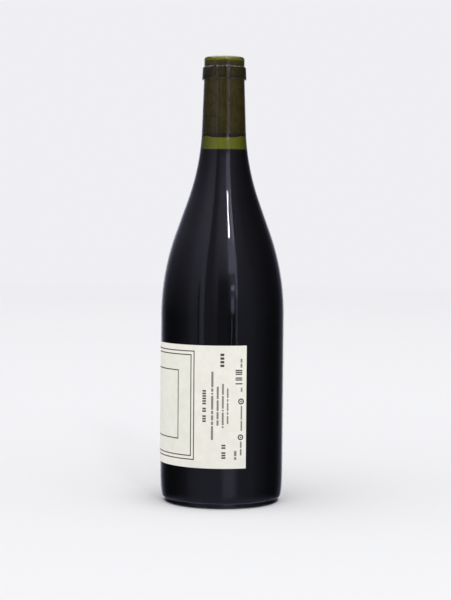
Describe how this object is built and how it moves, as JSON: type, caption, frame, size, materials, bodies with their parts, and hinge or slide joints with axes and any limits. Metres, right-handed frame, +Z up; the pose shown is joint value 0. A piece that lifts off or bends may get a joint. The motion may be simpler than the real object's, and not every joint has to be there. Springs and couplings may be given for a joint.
{
  "type": "wine bottle",
  "caption": "Corked green glass bottle with sloping shoulders, full of red wine, with a cream paper label round its body.",
  "frame": {"origin": "centre of the foot ring on the surface the bottle stands on", "axes": "+Z up along the bottle's axis to the mouth, -Y through the middle of the label's front panel, +X through the label's side panel"},
  "size_m": [0.0827, 0.0827, 0.296],
  "materials": {
    "green_glass": "polished, dark olive green",
    "natural_cork": "bare cork, matt",
    "red_wine": null,
    "label_paper": "uncoated cream paper with thin grey rules"
  },
  "bodies": {
    "root": {"glass": "green_glass", "cork": "natural_cork", "wine": "red_wine", "label": "label_paper"}
  },
  "joints": []
}
